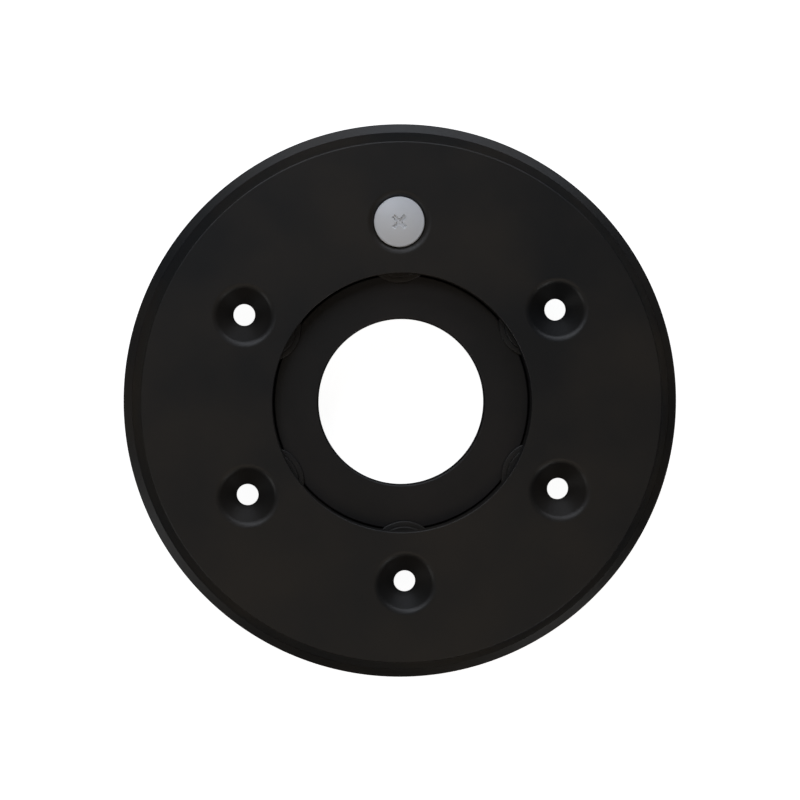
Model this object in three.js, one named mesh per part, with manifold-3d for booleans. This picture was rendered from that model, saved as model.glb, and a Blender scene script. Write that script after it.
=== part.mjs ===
// Swivel toilet flange: a moulded ABS mounting ring that turns on a hub glued to a 2 inch waste pipe.
// Millimetres, +Z up out of the face that the toilet sits on.
// The origin is on the pipe's axis, at the lower end of the hub's pipe socket.

import * as THREE from 'three';
import { mergeVertices } from 'three/addons/utils/BufferGeometryUtils.js';
import Module from 'manifold-3d';

const wasm = await Module();
wasm.setup();

// ---------- driving dimensions ----------

const RING_DIAMETER = 177.8;          // 7 inch, the usual toilet flange
const RING_HEIGHT = 12.7;             // 1/2 inch, from the finished floor to the flat face
const FACE_RADIUS = 82.8;             // outer edge of the flat face, top of the sloping side
const SIDE_FOOT_RADIUS = 86.1;        // where the sloping side meets the foot flange
const SIDE_FOOT_HEIGHT = 3.1;
const FOOT_EDGE_HEIGHT = 1.6;         // upright outer edge of the foot flange
const RECESS_RADIUS = 41.1;           // well in the face that takes the toilet's outlet seal
const FACE_THICKNESS = 3.4;
const WALL_THICKNESS = 3.0;
const RIB_THICKNESS = 2.2;
const RIB_CLEARANCE = 0.8;            // ribs stop this far above the floor
const LEDGE_THICKNESS = 2.6;          // inward ledge that carries the hub's lip

const BORE_RADIUS = 26.5;             // matches the inside of 2 inch pipe
const SOCKET_RADIUS = 30.3;           // takes 60.3 mm pipe
const SOCKET_DEPTH = 20;
const NECK_RADIUS = 34.2;
const HUB_WEB = 5;                    // thickness between the pipe stop and the top of the lip
const LIP_RADIUS = 40.7;
const LIP_THICKNESS = 2.8;
const LIP_TOP_ABOVE_FLOOR = 5.7;
const HUB_EDGE = 0.6;                 // rounding of the bore's mouth and chamfer under the lip
const TURNING_CLEARANCE = 0.3;        // gap between faces that slide on each other
const LEDGE_BORE_CLEARANCE = 0.6;

const SEAL_SECTION_RADIUS = 0.85;     // O-ring cord, drawn unsqueezed
const SEAL_CENTRE_RADIUS = 33.65;
const SEAL_GROOVE_WIDTH = 2.3;
const SEAL_GROOVE_RADIUS = 32.5;

const SCREW_COUNT = 6;
const SCREW_CIRCLE_RADIUS = 57.35;
const FIRST_SCREW_ANGLE = THREE.MathUtils.degToRad(31);
const FITTED_SCREW_INDEX = 1;         // the second hole, at the top of the face, holds the nylon screw
const HOLE_RADIUS = 3.45;
const SINK_RADIUS = 10.4;             // countersink, out to where its rolled rim meets the face
const SINK_RIM_ROUNDING = 3.0;
const SINK_SLOPE = 46;                // degrees below the face
const BOSS_RADIUS = 12.4;
const NIB_AXIS_RADIUS = 49.2;         // retaining nib, a slice of a cone, beside each screw hole
const NIB_BASE_RADIUS = 11.1;
const NIB_TOP_RADIUS = 9.4;
const NIB_HEIGHT = 2.0;

const HEAD_RADIUS = 8.0;              // wide truss head of the nylon screw
const HEAD_EDGE = 0.9;
const HEAD_DOME = 1.5;
const HEAD_SEAT_DEPTH = 1.0;          // underside of the head, below the face
const SHANK_RADIUS = 2.4;
const SHANK_END_ABOVE_FLOOR = 0.9;
const CROSS_LENGTH = 5.9;             // cross recess, tip to tip
const CROSS_WIDTH = 1.5;
const CROSS_DEPTH = 1.5;
const NUT_ACROSS_FLATS = 8;
const NUT_THICKNESS = 4;
const NUT_BORE_RADIUS = 2.72;
const POCKET_ACROSS_FLATS = 8.7;
const POCKET_DEPTH = 4.7;             // hex pocket under the boss, from the floor up
const NUT_GAP = 0.35;                 // tightened nut to the pocket's ceiling

const ROUND_SEGMENTS = 72;
const SMALL_SEGMENTS = 20;
const RIM_STEPS = 4;
const DOME_STEPS = 5;
const SEAL_STEPS = 8;
const CUT_MARGIN = 1;                 // cutters run this far past the faces they cut

// ---------- heights worked out from the driving dimensions ----------

const FLOOR_Z = SOCKET_DEPTH + HUB_WEB - LIP_TOP_ABOVE_FLOOR;
const FACE_Z = FLOOR_Z + RING_HEIGHT;
const LIP_TOP_Z = FLOOR_Z + LIP_TOP_ABOVE_FLOOR;
const LIP_UNDER_Z = LIP_TOP_Z - LIP_THICKNESS;
const LEDGE_TOP_Z = FLOOR_Z + LEDGE_THICKNESS;
const RING_RADIUS = RING_DIAMETER / 2;
const LEDGE_BORE_RADIUS = NECK_RADIUS + LEDGE_BORE_CLEARANCE;

// ---------- materials ----------

const blackAbs = new THREE.MeshStandardMaterial({ color: 0x222120, roughness: 0.45, metalness: 0 });
const hubAbs = new THREE.MeshStandardMaterial({ color: 0x1c1b1a, roughness: 0.5, metalness: 0 });
const whiteNylon = new THREE.MeshStandardMaterial({ color: 0xc9ccce, roughness: 0.4, metalness: 0 });
const sealRubber = new THREE.MeshStandardMaterial({ color: 0x141414, roughness: 0.8, metalness: 0 });

// ---------- helpers ----------

function toSolid(geometry) {
  const bare = geometry.index ? geometry.toNonIndexed() : geometry.clone();
  bare.deleteAttribute('normal');
  bare.deleteAttribute('uv');
  const merged = mergeVertices(bare);
  return new wasm.Manifold(
    new wasm.Mesh({
      numProp: 3,
      vertProperties: new Float32Array(merged.attributes.position.array),
      triVerts: new Uint32Array(merged.index.array),
    })
  );
}

function toMesh(name, solid, material) {
  const result = solid.getMesh();
  const geometry = new THREE.BufferGeometry();
  geometry.setAttribute('position', new THREE.BufferAttribute(new Float32Array(result.vertProperties), 3));
  geometry.setIndex(new THREE.BufferAttribute(new Uint32Array(result.triVerts), 1));
  geometry.computeVertexNormals();
  const mesh = new THREE.Mesh(geometry, material);
  mesh.name = name;
  return mesh;
}

// Turns an outline of [radius, height] points round the Z axis. The outline runs anticlockwise,
// with the radius to the right and the height up, and either closes or starts and ends on the axis.
function turned(outline, segments = ROUND_SEGMENTS) {
  const points = outline.map(([radius, height]) => new THREE.Vector2(radius, height));
  const reachesAxis = outline[0][0] === 0;
  if (!reachesAxis) {
    points.push(points[0].clone());
  }
  const geometry = new THREE.LatheGeometry(points, segments);
  geometry.rotateX(Math.PI / 2);
  return toSolid(geometry);
}

// A cone cut flat at both ends, standing on the Z axis.
function frustum(lowRadius, highRadius, low, high, segments) {
  const geometry = new THREE.CylinderGeometry(highRadius, lowRadius, high - low, segments);
  geometry.rotateX(Math.PI / 2);
  geometry.translate(0, 0, (low + high) / 2);
  return toSolid(geometry);
}

function cylinder(radius, low, high, segments = SMALL_SEGMENTS) {
  return frustum(radius, radius, low, high, segments);
}

function hexagon(acrossFlats, low, high) {
  return cylinder(acrossFlats / Math.sqrt(3), low, high, 6);
}

function block(width, depth, low, high) {
  const geometry = new THREE.BoxGeometry(width, depth, high - low);
  geometry.translate(0, 0, (low + high) / 2);
  return toSolid(geometry);
}

// Points on an arc, from one angle to another in degrees, both ends included.
function arc(centre, radius, from, to, steps) {
  const points = [];
  for (let step = 0; step <= steps; step += 1) {
    const angle = THREE.MathUtils.degToRad(from + ((to - from) * step) / steps);
    points.push([centre[0] + radius * Math.cos(angle), centre[1] + radius * Math.sin(angle)]);
  }
  return points;
}

function screwAngle(index) {
  return FIRST_SCREW_ANGLE + (index * 2 * Math.PI) / SCREW_COUNT;
}

// Moves a solid made on the Z axis onto the screw circle.
function atScrew(solid, index) {
  const angle = screwAngle(index);
  return solid
    .rotate([0, 0, THREE.MathUtils.radToDeg(angle)])
    .translate([SCREW_CIRCLE_RADIUS * Math.cos(angle), SCREW_CIRCLE_RADIUS * Math.sin(angle), 0]);
}

// ---------- mounting ring ----------

// Face, sloping side with its foot flange, recess wall and inner ledge, cored out from below.
function ringShell() {
  const coreTop = FACE_Z - FACE_THICKNESS;
  return turned([
    [LEDGE_BORE_RADIUS, FLOOR_Z],
    [RECESS_RADIUS + WALL_THICKNESS, FLOOR_Z],
    [RECESS_RADIUS + WALL_THICKNESS, coreTop],
    [FACE_RADIUS - WALL_THICKNESS, coreTop],
    [SIDE_FOOT_RADIUS - WALL_THICKNESS, FLOOR_Z],
    [RING_RADIUS, FLOOR_Z],
    [RING_RADIUS, FLOOR_Z + FOOT_EDGE_HEIGHT],
    [SIDE_FOOT_RADIUS, FLOOR_Z + SIDE_FOOT_HEIGHT],
    [FACE_RADIUS, FACE_Z],
    [RECESS_RADIUS, FACE_Z],
    [RECESS_RADIUS, LEDGE_TOP_Z],
    [LEDGE_BORE_RADIUS, LEDGE_TOP_Z],
  ]);
}

// Radial and circular ribs under the face.
function ringRibs() {
  const low = FLOOR_Z + RIB_CLEARANCE;
  const high = FACE_Z - FACE_THICKNESS / 2;
  const inner = RECESS_RADIUS + WALL_THICKNESS / 2;
  const outer = FACE_RADIUS - WALL_THICKNESS / 2;
  const spoke = block(outer - inner, RIB_THICKNESS, low, high).translate([(inner + outer) / 2, 0, 0]);
  const hoop = (radius) =>
    turned([
      [radius - RIB_THICKNESS / 2, low],
      [radius + RIB_THICKNESS / 2, low],
      [radius + RIB_THICKNESS / 2, high],
      [radius - RIB_THICKNESS / 2, high],
    ]);
  let ribs = hoop(SCREW_CIRCLE_RADIUS).add(hoop((SCREW_CIRCLE_RADIUS + outer) / 2));
  for (let index = 0; index < 2 * SCREW_COUNT; index += 1) {
    const turn = THREE.MathUtils.radToDeg(screwAngle(index / 2));
    ribs = ribs.add(spoke.rotate([0, 0, turn]));
  }
  return ribs;
}

// Six lens-shaped nibs high in the recess wall, which keep the hub's lip down.
function retainingNibs() {
  const low = LIP_TOP_Z + TURNING_CLEARANCE;
  const high = low + NIB_HEIGHT;
  const wallRadius = RECESS_RADIUS + WALL_THICKNESS / 2;
  const well = cylinder(wallRadius, low - CUT_MARGIN, high + CUT_MARGIN, ROUND_SEGMENTS);
  const cone = frustum(NIB_BASE_RADIUS, NIB_TOP_RADIUS, low, high, ROUND_SEGMENTS);
  const nib = cone.translate([NIB_AXIS_RADIUS - SCREW_CIRCLE_RADIUS, 0, 0]);
  let nibs = atScrew(nib, 0);
  for (let index = 1; index < SCREW_COUNT; index += 1) {
    nibs = nibs.add(atScrew(nib, index));
  }
  return nibs.intersect(well);
}

// Clearance hole with a conical countersink whose rim rolls over into the face.
function screwHoleCutter() {
  const rimCentre = [SINK_RADIUS, FACE_Z - SINK_RIM_ROUNDING];
  const rim = arc(rimCentre, SINK_RIM_ROUNDING, 90 + SINK_SLOPE, 90, RIM_STEPS);
  const [coneRadius, coneTop] = rim[0];
  const coneDepth = (coneRadius - HOLE_RADIUS) * Math.tan(THREE.MathUtils.degToRad(SINK_SLOPE));
  return turned([
    [0, FLOOR_Z - CUT_MARGIN],
    [HOLE_RADIUS, FLOOR_Z - CUT_MARGIN],
    [HOLE_RADIUS, coneTop - coneDepth],
    ...rim,
    [SINK_RADIUS, FACE_Z + CUT_MARGIN],
    [0, FACE_Z + CUT_MARGIN],
  ], SMALL_SEGMENTS);
}

function mountingRing() {
  const boss = cylinder(BOSS_RADIUS, FLOOR_Z, FACE_Z - FACE_THICKNESS / 2);
  const hole = screwHoleCutter();
  const nutPocket = hexagon(POCKET_ACROSS_FLATS, FLOOR_Z - CUT_MARGIN, FLOOR_Z + POCKET_DEPTH);
  let ring = ringShell().add(ringRibs());
  for (let index = 0; index < SCREW_COUNT; index += 1) {
    ring = ring.add(atScrew(boss, index));
  }
  ring = ring.add(retainingNibs());
  for (let index = 0; index < SCREW_COUNT; index += 1) {
    ring = ring.subtract(atScrew(hole, index)).subtract(atScrew(nutPocket, index));
  }
  return toMesh('mounting_ring', ring, blackAbs);
}

// ---------- pipe hub ----------

function pipeHub() {
  const grooveCentre = (FLOOR_Z + LEDGE_TOP_Z) / 2;
  const hub = turned([
    [SOCKET_RADIUS, 0],
    [NECK_RADIUS, 0],
    [NECK_RADIUS, grooveCentre - SEAL_GROOVE_WIDTH / 2],
    [SEAL_GROOVE_RADIUS, grooveCentre - SEAL_GROOVE_WIDTH / 2],
    [SEAL_GROOVE_RADIUS, grooveCentre + SEAL_GROOVE_WIDTH / 2],
    [NECK_RADIUS, grooveCentre + SEAL_GROOVE_WIDTH / 2],
    [NECK_RADIUS, LIP_UNDER_Z],
    [LIP_RADIUS - HUB_EDGE, LIP_UNDER_Z],
    [LIP_RADIUS, LIP_UNDER_Z + HUB_EDGE],
    [LIP_RADIUS, LIP_TOP_Z],
    ...arc([BORE_RADIUS + HUB_EDGE, LIP_TOP_Z - HUB_EDGE], HUB_EDGE, 90, 180, 3),
    [BORE_RADIUS, SOCKET_DEPTH],
    [SOCKET_RADIUS, SOCKET_DEPTH],
  ]);
  return toMesh('pipe_hub', hub, hubAbs);
}

function hubSeal() {
  const centre = [SEAL_CENTRE_RADIUS, (FLOOR_Z + LEDGE_TOP_Z) / 2];
  const section = arc(centre, SEAL_SECTION_RADIUS, 0, 360, SEAL_STEPS).slice(0, -1);
  return toMesh('hub_seal', turned(section), sealRubber);
}

// ---------- nylon screw and its nut ----------

function nylonScrew() {
  const underside = FACE_Z - HEAD_SEAT_DEPTH;
  const edgeTop = underside + HEAD_EDGE;
  const domeRadius = (HEAD_RADIUS ** 2 + HEAD_DOME ** 2) / (2 * HEAD_DOME);
  const domeCentre = [0, edgeTop + HEAD_DOME - domeRadius];
  const rimAngle = THREE.MathUtils.radToDeg(Math.acos(HEAD_RADIUS / domeRadius));
  const outline = [
    [0, FLOOR_Z + SHANK_END_ABOVE_FLOOR],
    [SHANK_RADIUS, FLOOR_Z + SHANK_END_ABOVE_FLOOR],
    [SHANK_RADIUS, underside],
    [HEAD_RADIUS, underside],
    ...arc(domeCentre, domeRadius, rimAngle, 90, DOME_STEPS).slice(0, -1),
    [0, edgeTop + HEAD_DOME],
  ];
  const crossTop = edgeTop + HEAD_DOME + CUT_MARGIN;
  const crossFloor = edgeTop + HEAD_DOME - CROSS_DEPTH;
  const arm = block(CROSS_LENGTH, CROSS_WIDTH, crossFloor, crossTop);
  const firstArm = 45 - THREE.MathUtils.radToDeg(screwAngle(FITTED_SCREW_INDEX));
  const cross = arm.rotate([0, 0, firstArm]).add(arm.rotate([0, 0, firstArm + 90]));
  const screw = turned(outline, 2 * SMALL_SEGMENTS).subtract(cross);
  return toMesh('nylon_screw', atScrew(screw, FITTED_SCREW_INDEX), whiteNylon);
}

function captiveNut() {
  const high = FLOOR_Z + POCKET_DEPTH - NUT_GAP;
  const low = high - NUT_THICKNESS;
  const bore = cylinder(NUT_BORE_RADIUS, low - CUT_MARGIN, high + CUT_MARGIN);
  const nut = hexagon(NUT_ACROSS_FLATS, low, high).subtract(bore);
  return toMesh('captive_nut', atScrew(nut, FITTED_SCREW_INDEX), whiteNylon);
}

const flange = new THREE.Group();
flange.name = 'toilet_flange';
flange.add(mountingRing(), pipeHub(), hubSeal(), nylonScrew(), captiveNut());

export default flange;
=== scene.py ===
import math

import bpy
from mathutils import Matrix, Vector


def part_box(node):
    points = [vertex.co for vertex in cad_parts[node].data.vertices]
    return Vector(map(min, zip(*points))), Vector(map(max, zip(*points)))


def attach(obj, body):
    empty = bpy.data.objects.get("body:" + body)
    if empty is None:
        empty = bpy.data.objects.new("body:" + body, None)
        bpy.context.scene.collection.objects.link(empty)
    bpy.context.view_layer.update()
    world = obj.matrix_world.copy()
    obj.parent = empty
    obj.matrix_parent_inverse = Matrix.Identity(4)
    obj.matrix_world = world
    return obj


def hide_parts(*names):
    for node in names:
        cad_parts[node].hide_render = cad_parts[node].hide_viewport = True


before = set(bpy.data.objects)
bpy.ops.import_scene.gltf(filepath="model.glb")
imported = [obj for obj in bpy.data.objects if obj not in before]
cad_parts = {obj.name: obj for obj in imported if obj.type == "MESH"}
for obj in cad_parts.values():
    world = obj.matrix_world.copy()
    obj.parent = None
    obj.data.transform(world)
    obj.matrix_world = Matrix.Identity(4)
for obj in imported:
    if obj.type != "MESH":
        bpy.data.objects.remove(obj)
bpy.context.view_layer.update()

# A swivel toilet flange: a black ABS mounting ring on a pipe hub, with one white nylon screw.
# Metres throughout; +Z is out of the face that the toilet sits on.

# ---------- places and sizes taken from the frame ----------

MM = 0.001
RING_LOW, RING_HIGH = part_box("mounting_ring")
HUB_LOW, HUB_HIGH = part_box("pipe_hub")
SEAL_LOW, SEAL_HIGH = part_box("hub_seal")
SCREW_LOW, SCREW_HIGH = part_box("nylon_screw")
NUT_LOW, NUT_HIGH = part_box("captive_nut")

FLOOR_Z = RING_LOW.z
FACE_Z = RING_HIGH.z
RING_RADIUS = RING_HIGH.x
LIP_TOP_Z = HUB_HIGH.z
LIP_RADIUS = HUB_HIGH.x
SEAL_Z = (SEAL_LOW.z + SEAL_HIGH.z) / 2
SEAL_SECTION_RADIUS = (SEAL_HIGH.z - SEAL_LOW.z) / 2
SEAL_CENTRE_RADIUS = SEAL_HIGH.x - SEAL_SECTION_RADIUS
SCREW_AXIS = (SCREW_LOW + SCREW_HIGH) / 2
SCREW_CIRCLE_RADIUS = SCREW_AXIS.to_2d().length
SCREW_ANGLE = math.atan2(SCREW_AXIS.y, SCREW_AXIS.x)
HEAD_RADIUS = (SCREW_HIGH.x - SCREW_LOW.x) / 2
SCREW_COUNT = 6

# ---------- the ring's own sizes ----------

FACE_RADIUS = 82.8 * MM
SIDE_FOOT_RADIUS = 86.1 * MM
SIDE_FOOT_HEIGHT = 3.1 * MM
FOOT_EDGE_HEIGHT = 1.6 * MM
RECESS_RADIUS = 41.1 * MM
LEDGE_BORE_RADIUS = 34.8 * MM
LEDGE_THICKNESS = 2.6 * MM
FACE_THICKNESS = 3.4 * MM
WALL_THICKNESS = 3.0 * MM
RIB_THICKNESS = 2.2 * MM
RIB_CLEARANCE = 0.8 * MM
RIB_DRAFT = 0.8
HOLE_RADIUS = 3.45 * MM
SINK_RADIUS = 10.4 * MM
SINK_RIM_ROUNDING = 3.0 * MM
SINK_SLOPE = 46
BOSS_RADIUS = 12.4 * MM
NIB_AXIS_RADIUS = 49.2 * MM
NIB_TOP_RADIUS = 9.4 * MM
NIB_BASE_RADIUS = 11.1 * MM
NIB_HEIGHT = 2.0 * MM
NIB_GAP = 0.3 * MM
POCKET_ACROSS_FLATS = 8.7 * MM
POCKET_DEPTH = 4.7 * MM

# ---------- the hub's, screw's and nut's own sizes ----------

BORE_RADIUS = 26.5 * MM
SOCKET_RADIUS = 30.3 * MM
SOCKET_DEPTH = 20 * MM
NECK_RADIUS = 34.2 * MM
LIP_THICKNESS = 2.8 * MM
GROOVE_RADIUS = 32.5 * MM
GROOVE_WIDTH = 2.3 * MM
HEAD_SEAT_DEPTH = 1.0 * MM
HEAD_EDGE = 0.9 * MM
HEAD_DOME = 1.5 * MM
SHANK_RADIUS = 2.4 * MM
THREAD_PITCH = 0.8 * MM
THREAD_DEPTH = 0.42 * MM
CROSS_LENGTH = 7.0 * MM
CROSS_WIDTH = 1.9 * MM
CROSS_DEPTH = 1.5 * MM
NUT_ACROSS_FLATS = 8 * MM
NUT_BORE_RADIUS = 2.72 * MM

ROUND = 256
SMALL_ROUND = 96
CUT_MARGIN = 1 * MM
MERGE_DISTANCE = 0.001 * MM
SMOOTH_ANGLE = math.radians(28)


# ---------- modelling helpers ----------


def deselect_all():
    bpy.ops.object.select_all(action="DESELECT")


def make_active(piece):
    deselect_all()
    piece.select_set(True)
    bpy.context.view_layer.objects.active = piece


def arc(centre, radius, start, end, steps):
    """Points on an arc about centre, from one angle to the other in degrees, both ends included."""
    points = []
    for step in range(steps + 1):
        angle = math.radians(start + (end - start) * step / steps)
        points.append((centre[0] + radius * math.cos(angle), centre[1] + radius * math.sin(angle)))
    return points


def rounded(corners, steps=4):
    """Turns corners (radius, height, rounding) of a closed outline into points, with an arc at each rounding."""
    points = []
    for index, (radius, height, rounding) in enumerate(corners):
        corner = Vector((radius, height))
        if rounding == 0:
            points.append(tuple(corner))
            continue
        before = (Vector(corners[index - 1][:2]) - corner).normalized()
        after = (Vector(corners[(index + 1) % len(corners)][:2]) - corner).normalized()
        half = before.angle(after) / 2
        centre = corner + (before + after).normalized() * rounding / math.sin(half)
        first = corner + before * rounding / math.tan(half) - centre
        last = corner + after * rounding / math.tan(half) - centre
        for step in range(steps + 1):
            along = first.lerp(last, step / steps).normalized() * rounding
            points.append(tuple(centre + along))
    return points


def turned(name, outline, segments=ROUND, closed=True):
    """Draws a circle from point to point of an outline of (radius, height), as a lathe would.
    A closed outline comes back to its first point; any other is capped at both ends."""
    radius, height = outline[0]
    deselect_all()
    bpy.ops.mesh.primitive_circle_add(vertices=segments, radius=radius, location=(0, 0, height))
    piece = bpy.context.object
    piece.name = name
    bpy.ops.object.transform_apply(location=True)
    bpy.ops.object.mode_set(mode="EDIT")
    bpy.ops.mesh.select_all(action="SELECT")
    for next_radius, next_height in outline[1:] + outline[:1] * closed:
        bpy.ops.mesh.extrude_edges_move(TRANSFORM_OT_translate={"value": (0, 0, next_height - height)})
        factor = next_radius / radius
        bpy.ops.transform.resize(value=(factor, factor, 1), center_override=(0, 0, next_height))
        radius, height = next_radius, next_height
    finish_edit()
    return piece


def finish_edit():
    """Closes what is open, merges what coincides, turns the faces outwards and leaves edit mode."""
    bpy.ops.mesh.select_all(action="SELECT")
    bpy.ops.mesh.remove_doubles(threshold=MERGE_DISTANCE)
    bpy.ops.mesh.fill_holes(sides=0)
    bpy.ops.mesh.select_all(action="SELECT")
    bpy.ops.mesh.normals_make_consistent(inside=False)
    bpy.ops.object.mode_set(mode="OBJECT")


def block(name, length, width, height, narrowing):
    """A box about the origin whose bottom face is narrowed by two factors, as a mould's draft would."""
    deselect_all()
    bpy.ops.mesh.primitive_cube_add(size=1, scale=(length, width, height))
    piece = bpy.context.object
    piece.name = name
    bpy.ops.object.transform_apply(scale=True)
    bpy.ops.object.mode_set(mode="EDIT")
    select_faces(piece, lambda centre, normal: normal.z < -0.5)
    bpy.ops.transform.resize(value=(*narrowing, 1))
    bpy.ops.object.mode_set(mode="OBJECT")
    return piece


def copy_of(piece, name):
    make_active(piece)
    bpy.ops.object.duplicate()
    copy = bpy.context.object
    copy.name = name
    return copy


def put_on_screw_circle(piece, index):
    """Moves a piece made on the Z axis to screw position index, turned to face away from the middle."""
    angle = SCREW_ANGLE + math.tau * index / SCREW_COUNT
    make_active(piece)
    piece.location = (SCREW_CIRCLE_RADIUS * math.cos(angle), SCREW_CIRCLE_RADIUS * math.sin(angle), 0)
    piece.rotation_euler.z = angle
    bpy.ops.object.transform_apply(location=True, rotation=True)
    return piece


def join(pieces):
    make_active(pieces[0])
    for piece in pieces:
        piece.select_set(True)
    bpy.ops.object.join()
    return bpy.context.object


def six_of(piece):
    """Joins six copies of a piece made on the Z axis, one at each screw position."""
    copies = [put_on_screw_circle(copy_of(piece, f"{piece.name}_{index}"), index) for index in range(SCREW_COUNT)]
    bpy.data.objects.remove(piece)
    return join(copies)


def apply_modifier(piece, kind, **settings):
    make_active(piece)
    bpy.ops.object.modifier_add(type=kind)
    modifier = piece.modifiers[-1]
    for name, value in settings.items():
        setattr(modifier, name, value)
    bpy.ops.object.modifier_apply(modifier=modifier.name)


def combine(piece, other, operation):
    """Adds other to piece, cuts it away or keeps what they share, and removes other."""
    apply_modifier(piece, "BOOLEAN", operation=operation, solver="EXACT", object=other)
    bpy.data.objects.remove(other)


def select_faces(piece, wanted):
    """In edit mode, selects just the faces whose centre and normal the test accepts."""
    bpy.ops.mesh.select_all(action="DESELECT")
    bpy.ops.object.mode_set(mode="OBJECT")
    for face in piece.data.polygons:
        face.select = wanted(face.center, face.normal)
    bpy.ops.object.mode_set(mode="EDIT")


def smooth(piece, angle=SMOOTH_ANGLE):
    """Shades gentle corners smooth and keeps flat faces flat."""
    make_active(piece)
    bpy.ops.object.shade_smooth_by_angle(angle=angle)
    apply_modifier(piece, "WEIGHTED_NORMAL", keep_sharp=True, weight=100)


# ---------- mounting ring ----------


def ring_shell():
    core_top = FACE_Z - FACE_THICKNESS
    wall_outside = RECESS_RADIUS + WALL_THICKNESS
    return turned("mounting_ring_body", rounded([
        (LEDGE_BORE_RADIUS, FLOOR_Z, 0.3 * MM),
        (wall_outside, FLOOR_Z, 0.3 * MM),
        (wall_outside, core_top, 0.8 * MM),
        (FACE_RADIUS - WALL_THICKNESS, core_top, 1.0 * MM),
        (SIDE_FOOT_RADIUS - WALL_THICKNESS, FLOOR_Z, 0.4 * MM),
        (RING_RADIUS, FLOOR_Z, 0.25 * MM),
        (RING_RADIUS, FLOOR_Z + FOOT_EDGE_HEIGHT, 0.5 * MM),
        (SIDE_FOOT_RADIUS, FLOOR_Z + SIDE_FOOT_HEIGHT, 0.25 * MM),
        (FACE_RADIUS, FACE_Z, 0.6 * MM),
        (RECESS_RADIUS, FACE_Z, 0.4 * MM),
        (RECESS_RADIUS, FLOOR_Z + LEDGE_THICKNESS, 0.4 * MM),
        (LEDGE_BORE_RADIUS, FLOOR_Z + LEDGE_THICKNESS, 0.3 * MM),
    ]))


def rib_heights():
    """From just above the floor, so that the ring rests on its edge alone, to the middle of the face's thickness."""
    return FLOOR_Z + RIB_CLEARANCE, FACE_Z - FACE_THICKNESS / 2


def radial_ribs():
    low, high = rib_heights()
    inner = RECESS_RADIUS + WALL_THICKNESS / 2
    outer = FACE_RADIUS - WALL_THICKNESS / 2
    middle = (inner + outer) / 2
    ribs = []
    for index in range(2 * SCREW_COUNT):
        angle = SCREW_ANGLE + math.tau * index / (2 * SCREW_COUNT)
        rib = block("rib", outer - inner, RIB_THICKNESS, high - low, narrowing=(1, RIB_DRAFT))
        rib.location = (middle * math.cos(angle), middle * math.sin(angle), (low + high) / 2)
        rib.rotation_euler.z = angle
        bpy.ops.object.transform_apply(location=True, rotation=True)
        ribs.append(rib)
    return join(ribs)


def rib_hoops():
    low, high = rib_heights()
    half = RIB_THICKNESS / 2
    hoops = []
    for radius in (SCREW_CIRCLE_RADIUS, (SCREW_CIRCLE_RADIUS + FACE_RADIUS - WALL_THICKNESS / 2) / 2):
        hoops.append(turned("hoop", [
            (radius - half * RIB_DRAFT, low),
            (radius + half * RIB_DRAFT, low),
            (radius + half, high),
            (radius - half, high),
        ]))
    return join(hoops)


def screw_bosses():
    return six_of(turned("boss", [
        (BOSS_RADIUS - 0.3 * MM, FLOOR_Z),
        (BOSS_RADIUS, FLOOR_Z + 0.3 * MM),
        (BOSS_RADIUS + 0.2 * MM, rib_heights()[1]),
    ], SMALL_ROUND, closed=False))


def retaining_nibs():
    """Six lens-shaped nibs in two steps, high in the recess wall, one beside each screw."""
    low = LIP_TOP_Z + NIB_GAP
    tread = low + NIB_HEIGHT / 2
    edge = 0.3 * MM
    nib = turned("nib", [
        (NIB_BASE_RADIUS, low),
        *arc((NIB_BASE_RADIUS - edge, tread - edge), edge, 0, 90, 4),
        (NIB_TOP_RADIUS + 0.1 * MM, tread),
        *arc((NIB_TOP_RADIUS - edge, low + NIB_HEIGHT - edge), edge, 0, 90, 4),
    ], ROUND, closed=False)
    nib.location.x = NIB_AXIS_RADIUS - SCREW_CIRCLE_RADIUS
    bpy.ops.object.transform_apply(location=True)
    nibs = six_of(nib)
    buried = RECESS_RADIUS + WALL_THICKNESS / 2
    well = turned("well", [(buried, low - CUT_MARGIN), (buried, low + NIB_HEIGHT + CUT_MARGIN)], closed=False)
    combine(nibs, well, "INTERSECT")
    return nibs


def screw_hole_cutter():
    """A clearance hole with a conical countersink whose rim rolls over into the face, and the nut's hex pocket."""
    flare = 3
    rim = arc((SINK_RADIUS, FACE_Z - SINK_RIM_ROUNDING), SINK_RIM_ROUNDING, 90 + SINK_SLOPE, 90 + flare, 16)
    cone_radius, cone_top = rim[0]
    cone_bottom = cone_top - (cone_radius - HOLE_RADIUS) * math.tan(math.radians(SINK_SLOPE))
    edge = 0.5 * MM
    edge_centre = (HOLE_RADIUS + edge, cone_bottom - edge * math.tan(math.radians(45 - SINK_SLOPE / 2)))
    outline = [
        (HOLE_RADIUS, FLOOR_Z - CUT_MARGIN),
        *arc(edge_centre, edge, 180, 90 + SINK_SLOPE, 4),
        *rim,
        (SINK_RADIUS + 0.3 * MM, FACE_Z + CUT_MARGIN),
    ]
    cutter = turned("hole", outline, SMALL_ROUND, closed=False)
    deselect_all()
    depth = POCKET_DEPTH + CUT_MARGIN
    bpy.ops.mesh.primitive_cylinder_add(
        vertices=6,
        radius=POCKET_ACROSS_FLATS / math.sqrt(3),
        depth=depth,
        location=(0, 0, FLOOR_Z + POCKET_DEPTH - depth / 2),
    )
    pocket = bpy.context.object
    bpy.ops.object.transform_apply(location=True)
    combine(cutter, pocket, "UNION")
    return six_of(cutter)


def mounting_ring():
    ring = ring_shell()
    for addition in (radial_ribs(), rib_hoops(), screw_bosses(), retaining_nibs()):
        combine(ring, addition, "UNION")
    combine(ring, screw_hole_cutter(), "DIFFERENCE")
    smooth(ring)
    return ring


# ---------- pipe hub and its O-ring ----------


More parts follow.
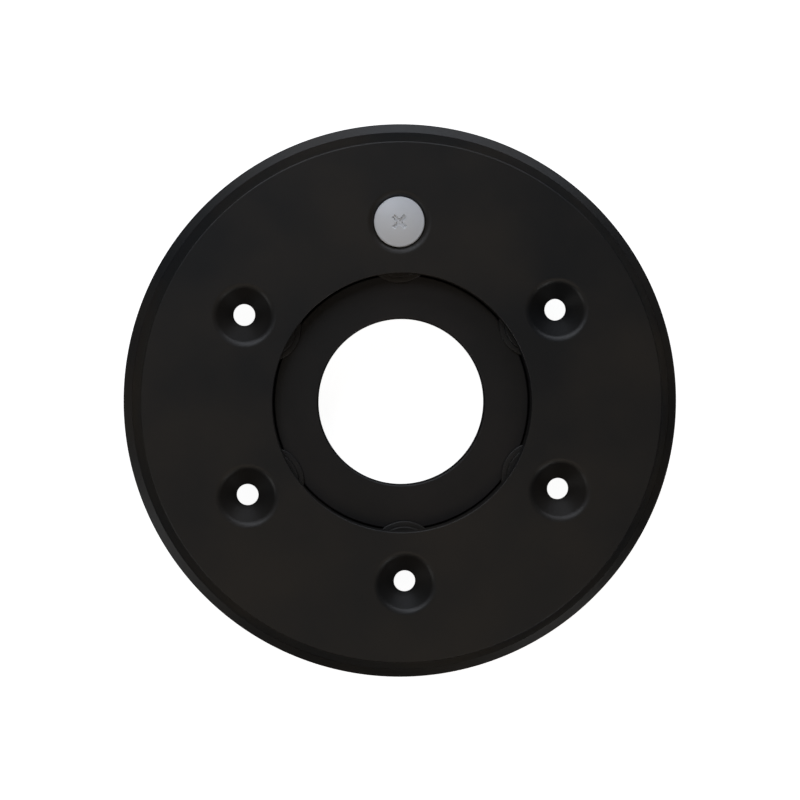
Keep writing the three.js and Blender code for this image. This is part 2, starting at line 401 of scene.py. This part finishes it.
def pipe_hub():
    lip_under = LIP_TOP_Z - LIP_THICKNESS
    groove_low = SEAL_Z - GROOVE_WIDTH / 2
    groove_high = SEAL_Z + GROOVE_WIDTH / 2
    hub = turned("pipe_hub_body", rounded([
        (SOCKET_RADIUS + 0.5 * MM, HUB_LOW.z, 0.2 * MM),
        (NECK_RADIUS, HUB_LOW.z, 0.5 * MM),
        (NECK_RADIUS, groove_low, 0.15 * MM),
        (GROOVE_RADIUS, groove_low, 0.3 * MM),
        (GROOVE_RADIUS, groove_high, 0.3 * MM),
        (NECK_RADIUS, groove_high, 0.15 * MM),
        (NECK_RADIUS, lip_under, 0.2 * MM),
        (LIP_RADIUS - 0.6 * MM, lip_under, 0.3 * MM),
        (LIP_RADIUS, lip_under + 0.6 * MM, 0.3 * MM),
        (LIP_RADIUS, LIP_TOP_Z, 0.4 * MM),
        (BORE_RADIUS, LIP_TOP_Z, 0.7 * MM),
        (BORE_RADIUS, SOCKET_DEPTH, 0.3 * MM),
        (SOCKET_RADIUS, SOCKET_DEPTH, 0.3 * MM),
    ]))
    smooth(hub)
    return hub


def hub_seal():
    """O-ring with the fine ridge that its mould's two halves leave round the outside and the inside."""
    ridge_height = 0.05 * MM
    ridge_half = 8
    outer = arc((SEAL_CENTRE_RADIUS, SEAL_Z), SEAL_SECTION_RADIUS - ridge_height, ridge_half, 180 - ridge_half, 16)
    under = arc((SEAL_CENTRE_RADIUS, SEAL_Z), SEAL_SECTION_RADIUS - ridge_height, 180 + ridge_half, 360 - ridge_half, 16)
    seal = turned("hub_seal_body", [
        (SEAL_CENTRE_RADIUS + SEAL_SECTION_RADIUS, SEAL_Z),
        *outer,
        (SEAL_CENTRE_RADIUS - SEAL_SECTION_RADIUS, SEAL_Z),
        *under,
    ])
    smooth(seal)
    return seal


# ---------- nylon screw and captive nut ----------


def nylon_screw():
    underside = FACE_Z - HEAD_SEAT_DEPTH
    dome_foot = underside + HEAD_EDGE
    dome_radius = (HEAD_RADIUS**2 + HEAD_DOME**2) / (2 * HEAD_DOME)
    dome_centre = (0, dome_foot + HEAD_DOME - dome_radius)
    rim_angle = math.degrees(math.acos(HEAD_RADIUS / dome_radius))
    end = SCREW_LOW.z
    edge = 0.3 * MM
    rim_edge = 0.6 * MM
    core = SHANK_RADIUS - THREAD_DEPTH
    screw = turned("nylon_screw_body", [
        (core - 0.6 * MM, end),
        (core, end + 0.6 * MM),
        (core, underside - 1.2 * MM),
        (SHANK_RADIUS, underside - 0.8 * MM),
        (SHANK_RADIUS, underside - 0.3 * MM),
        (SHANK_RADIUS + 0.3 * MM, underside),
        (HEAD_RADIUS - edge, underside),
        *arc((HEAD_RADIUS - edge, underside + edge), edge, -90, 0, 4)[1:],
        *arc((HEAD_RADIUS - rim_edge, dome_foot - rim_edge * 0.6), rim_edge, 0, 66, 6),
        *arc(dome_centre, dome_radius, rim_angle + 4.5, 89, 20),
    ], SMALL_ROUND, closed=False)
    combine(screw, screw_thread(core, end + 0.3 * MM, underside - 1.0 * MM), "UNION")
    combine(screw, cross_recess(dome_foot + HEAD_DOME), "DIFFERENCE")
    put_on_screw_circle(screw, 0)
    smooth(screw)
    return screw


def screw_thread(core, low, high):
    """A V-shaped tooth wound up the shank, one turn to a pitch, sunk a little into the core."""
    deselect_all()
    bpy.ops.mesh.primitive_circle_add(vertices=3, radius=THREAD_PITCH / 2)
    tooth = bpy.context.object
    tooth.name = "thread"
    bpy.ops.object.mode_set(mode="OBJECT")
    sunk = core - 0.25 * MM
    crest = SHANK_RADIUS
    half = THREAD_PITCH * 0.48
    corners = [(sunk, 0, low - half), (crest, 0, low), (sunk, 0, low + half)]
    for vertex, corner in zip(tooth.data.vertices, corners):
        vertex.co = corner
    turns = int((high - low) / THREAD_PITCH)
    apply_modifier(
        tooth, "SCREW", screw_offset=THREAD_PITCH, iterations=turns, steps=48, render_steps=48, use_merge_vertices=False
    )
    bpy.ops.object.mode_set(mode="EDIT")
    finish_edit()
    return tooth


def cross_recess(top):
    """Cutter for the cross recess: two arms that narrow towards the bottom."""
    depth = CROSS_DEPTH + CUT_MARGIN
    arms = []
    for quarter in range(2):
        arm = block("arm", CROSS_LENGTH, CROSS_WIDTH, depth, narrowing=(0.6, 0.45))
        arm.location.z = top + CUT_MARGIN - depth / 2
        arm.rotation_euler.z = math.radians(45 + 90 * quarter) - SCREW_ANGLE
        bpy.ops.object.transform_apply(location=True, rotation=True)
        arms.append(arm)
    combine(arms[0], arms[1], "UNION")
    return arms[0]


def captive_nut():
    """Hex nut with its corners chamfered top and bottom and a chamfered bore."""
    low, high = NUT_LOW.z, NUT_HIGH.z
    corner = NUT_ACROSS_FLATS / math.sqrt(3)
    chamfer = 0.45 * MM
    deselect_all()
    bpy.ops.mesh.primitive_cylinder_add(vertices=6, radius=corner, depth=high - low, location=(0, 0, (low + high) / 2))
    nut = bpy.context.object
    nut.name = "captive_nut_body"
    bpy.ops.object.transform_apply(location=True)
    flats = NUT_ACROSS_FLATS / 2
    shape = turned("shape", [
        (flats - 0.1 * MM, low),
        (corner + 0.1 * MM, low + chamfer),
        (corner + 0.1 * MM, high - chamfer),
        (flats - 0.1 * MM, high),
    ], SMALL_ROUND, closed=False)
    combine(nut, shape, "INTERSECT")
    lead = 0.4 * MM
    bore = turned("bore", [
        (NUT_BORE_RADIUS + lead + CUT_MARGIN, low - CUT_MARGIN),
        (NUT_BORE_RADIUS, low + lead),
        (NUT_BORE_RADIUS, high - lead),
        (NUT_BORE_RADIUS + lead + CUT_MARGIN, high + CUT_MARGIN),
    ], SMALL_ROUND, closed=False)
    combine(nut, bore, "DIFFERENCE")
    put_on_screw_circle(nut, 0)
    smooth(nut)
    return nut


# ---------- materials ----------


def colour(hex_code):
    """An sRGB hex colour as linear red, green, blue and full alpha."""
    channels = [int(hex_code[start:start + 2], 16) / 255 for start in (1, 3, 5)]
    return [c / 12.92 if c <= 0.04045 else ((c + 0.055) / 1.055) ** 2.4 for c in channels] + [1]


def add_node(material, kind, inputs=(), **settings):
    """Adds a node; each input is a number, a colour or another node's output."""
    tree = material.node_tree
    node = tree.nodes.new(kind)
    for name, value in settings.items():
        setattr(node, name, value)
    for socket, value in dict(inputs).items():
        if isinstance(value, bpy.types.NodeSocket):
            tree.links.new(value, node.inputs[socket])
        else:
            node.inputs[socket].default_value = value
    return node


def new_material(name):
    material = bpy.data.materials.new(name)
    material.use_nodes = True
    material.node_tree.nodes.clear()
    return material


def moulded_plastic(name, dark, light, low_gloss, high_gloss, grain_mm, grain_height_mm):
    """Injection-moulded plastic: a spark-eroded grain all over, and broad, faint clouds of colour and
    gloss where the melt cooled unevenly."""
    material = new_material(name)
    place = add_node(material, "ShaderNodeTexCoord").outputs["Object"]
    clouds = add_node(material, "ShaderNodeTexNoise", {"Vector": place, "Scale": 1 / (34 * MM), "Detail": 3})
    tint = add_node(material, "ShaderNodeValToRGB", {"Fac": clouds.outputs["Fac"]})
    tint.color_ramp.elements[0].position = 0.35
    tint.color_ramp.elements[0].color = colour(dark)
    tint.color_ramp.elements[1].position = 0.68
    tint.color_ramp.elements[1].color = colour(light)
    gloss = add_node(material, "ShaderNodeMapRange", {
        "Value": clouds.outputs["Fac"],
        "From Min": 0.3,
        "From Max": 0.7,
        "To Min": low_gloss,
        "To Max": high_gloss,
    })
    grain = add_node(material, "ShaderNodeTexNoise", {"Vector": place, "Scale": 1 / (grain_mm * MM), "Detail": 2})
    bump = add_node(material, "ShaderNodeBump", {
        "Height": grain.outputs["Fac"],
        "Distance": grain_height_mm * MM,
        "Strength": 1,
    })
    shader = add_node(material, "ShaderNodeBsdfPrincipled", {
        "Base Color": tint.outputs["Color"],
        "Roughness": gloss.outputs["Result"],
        "Normal": bump.outputs["Normal"],
        "IOR": 1.5,
    })
    add_node(material, "ShaderNodeOutputMaterial", {"Surface": shader.outputs["BSDF"]})
    return material


RING_ABS = moulded_plastic("moulded_black_abs", "#1c1d1e", "#28241f", 0.40, 0.48, 0.5, 0.02)
# The hub is the ring's black ABS with a slightly higher roughness. Its darker colour is painted shade, which darkens
# the recess floor formed by the hub's lip.
HUB_ABS_MATT_PAINTED_SHADE = moulded_plastic("moulded_black_abs_matt_painted_shade", "#181818", "#201c1a", 0.44, 0.52, 0.5, 0.025)
EPDM = moulded_plastic("moulded_epdm_rubber", "#121212", "#191919", 0.7, 0.8, 0.4, 0.02)
NYLON = moulded_plastic("moulded_white_nylon", "#ecf0f6", "#f5f6f7", 0.34, 0.4, 0.6, 0.01)


# ---------- pieces on their bodies ----------

PIECES = [
    (mounting_ring, "ring", "mounting_ring", "ring_abs", RING_ABS),
    (pipe_hub, "hub", "pipe_hub", "hub_abs", HUB_ABS_MATT_PAINTED_SHADE),
    (hub_seal, "hub", "hub_seal", "seal_rubber", EPDM),
    (nylon_screw, "screw", "nylon_screw", "white_nylon", NYLON),
    (captive_nut, "nut", "captive_nut", "white_nylon", NYLON),
]

for make, body, node, slot, material in PIECES:
    piece = make()
    piece.data.materials.clear()
    piece.data.materials.append(material)
    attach(piece, body)
    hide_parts(node)


# ---------- floor, lights and camera ----------


def pale_floor():
    """A back-lit white table, which the object stands on."""
    deselect_all()
    bpy.ops.mesh.primitive_plane_add(size=6, location=(0, 0, HUB_LOW.z - 0.1 * MM))
    floor = bpy.context.object
    floor.name = "floor"
    material = new_material("white_table")
    shader = add_node(material, "ShaderNodeBsdfPrincipled", {
        "Base Color": colour("#d8d8d8"),
        "Roughness": 0.8,
        "Emission Color": colour("#ffffff"),
        "Emission Strength": 0.95,
    })
    add_node(material, "ShaderNodeOutputMaterial", {"Surface": shader.outputs["BSDF"]})
    floor.data.materials.append(material)
    floor.visible_glossy = False


def softbox(name, azimuth, elevation, distance, width, height, radiance, tint):
    """A soft rectangular light that faces the object from a compass direction and a height in degrees."""
    turn, lift = math.radians(azimuth), math.radians(elevation)
    away = Vector((math.cos(turn) * math.cos(lift), math.sin(turn) * math.cos(lift), math.sin(lift)))
    deselect_all()
    bpy.ops.object.light_add(type="AREA", location=AIM + away * distance)
    light = bpy.context.object
    light.name = name
    light.rotation_euler = away.to_track_quat("Z", "Y").to_euler()
    light.data.shape = "RECTANGLE"
    light.data.size = width
    light.data.size_y = height
    light.data.energy = radiance * math.pi * width * height
    light.data.color = colour(tint)[:3]


AIM = Vector((-0.00025, 0.00045, FLOOR_Z))
VIEW_DISTANCE = 0.85
VIEW_TILT = 3.1
VIEW_AZIMUTH = 137
HALF_WIDTH_SEEN = 0.1288


def camera():
    tilt, turn = math.radians(VIEW_TILT), math.radians(VIEW_AZIMUTH)
    away = Vector((math.cos(turn) * math.sin(tilt), math.sin(turn) * math.sin(tilt), math.cos(tilt)))
    lean = Vector((0, 0, 1)).rotation_difference(away)
    bpy.ops.object.camera_add(location=AIM + away * VIEW_DISTANCE, rotation=lean.to_euler())
    eye = bpy.context.object
    eye.data.angle = 2 * math.atan(HALF_WIDTH_SEEN / VIEW_DISTANCE)
    bpy.context.scene.camera = eye


pale_floor()
softbox("warm_overhead", 275, 62, 1.5, 1.3, 0.8, 0.62, "#ffeeda")
softbox("key", 118, 54, 1.2, 0.5, 0.5, 3.2, "#f0f5ff")
softbox("top_box", 84, 30, 1.2, 1.4, 0.5, 2.1, "#f0f5ff")
softbox("lower_left_box", 213, 30, 1.2, 0.36, 0.4, 2.4, "#ffffff")
softbox("lower_right_box", 306, 30, 1.2, 0.26, 0.4, 2.8, "#ffffff")

world = bpy.data.worlds.new("studio")
bpy.context.scene.world = world
world.use_nodes = True
world.node_tree.nodes["Background"].inputs["Color"].default_value = colour("#f2f2f2")
world.cycles_visibility.glossy = False
world.cycles_visibility.diffuse = False

camera()
bpy.context.scene.view_settings.view_transform = "Standard"
